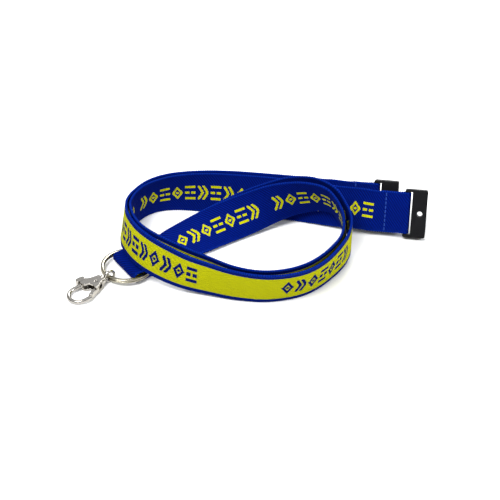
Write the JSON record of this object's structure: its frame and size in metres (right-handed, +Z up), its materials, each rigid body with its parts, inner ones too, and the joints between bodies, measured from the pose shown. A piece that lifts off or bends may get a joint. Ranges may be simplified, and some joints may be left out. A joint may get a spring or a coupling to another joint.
{
  "type": "lanyard",
  "caption": "Flat woven neck lanyard of paired webbing straps with a split ring, a swivel trigger clip and a breakaway side buckle, undone and laid in a loop.",
  "frame": {"origin": "on the surface that the lanyard lies on, under the middle of its bounding box", "axes": "+Z up; +X along the lanyard's longest extent, from the clip to the buckle; +Y away from the front of the loop"},
  "size_m": [0.1668, 0.0837, 0.0281],
  "materials": {
    "webbing_blue": "woven matte, royal blue",
    "webbing_yellow": "woven matte, yellow with blue selvedges",
    "thread": "sewing thread, light blue",
    "buckle_plastic": "moulded, satin black",
    "ring_nickel": "nickel plated",
    "clip_nickel": "nickel plated, polished die casting",
    "pin_steel": "plain steel"
  },
  "bodies": {
    "webbing": {"inner_strap": "webbing_blue", "outer_strap": "webbing_yellow", "ring_end_loop": "webbing_blue", "ring_end_stitching": "thread", "socket_end_loop": "webbing_blue", "socket_end_stitching": "thread", "plug_end_loop": "webbing_yellow", "plug_end_stitching": "thread"},
    "socket": {"breakaway_socket": "buckle_plastic"},
    "plug": {"breakaway_plug": "buckle_plastic"},
    "ring": {"split_ring": "ring_nickel"},
    "eye": {"swivel_eye": "clip_nickel"},
    "hook": {"hook_body": "clip_nickel", "gate_pivot_pin": "pin_steel"},
    "gate": {"gate_lever": "clip_nickel"}
  },
  "joints": [
    {"name": "ring_turn", "type": "hinge", "parent": "webbing", "child": "ring", "pos_m": [-0.0576, -0.0134, 0.00295], "axis": [0, 0, 1], "continuous": true},
    {"name": "eye_tilt", "type": "hinge", "parent": "webbing", "child": "eye", "pos_m": [-0.06503, -0.02137, 0.00325], "axis": [0.6018, -0.7986, 0], "range_deg": [-90, 60]},
    {"name": "hook_swivel", "type": "hinge", "parent": "eye", "child": "hook", "pos_m": [-0.06822, -0.02377, 0.00293], "axis": [-0.7961, -0.5999, -0.0802], "continuous": true},
    {"name": "gate_hinge", "type": "hinge", "parent": "hook", "child": "gate", "pos_m": [-0.07028, -0.02683, 0.00265], "axis": [0.064, 0.0483, -0.9968], "range_deg": [0, 25], "stiffness_Nm_per_rad": 0.02, "springref_deg": -17.19},
    {"name": "socket_hinge", "type": "hinge", "parent": "webbing", "child": "socket", "pos_m": [0.07288, 0.01697, 0.01115], "axis": [-0.0566, -0.451, -0.8907], "range_deg": [-5, 45]},
    {"name": "plug_hinge", "type": "hinge", "parent": "webbing", "child": "plug", "pos_m": [0.05885, 0.02452, 0.01132], "axis": [0.0497, 0.422, 0.9052], "range_deg": [0, 45]}
  ]
}
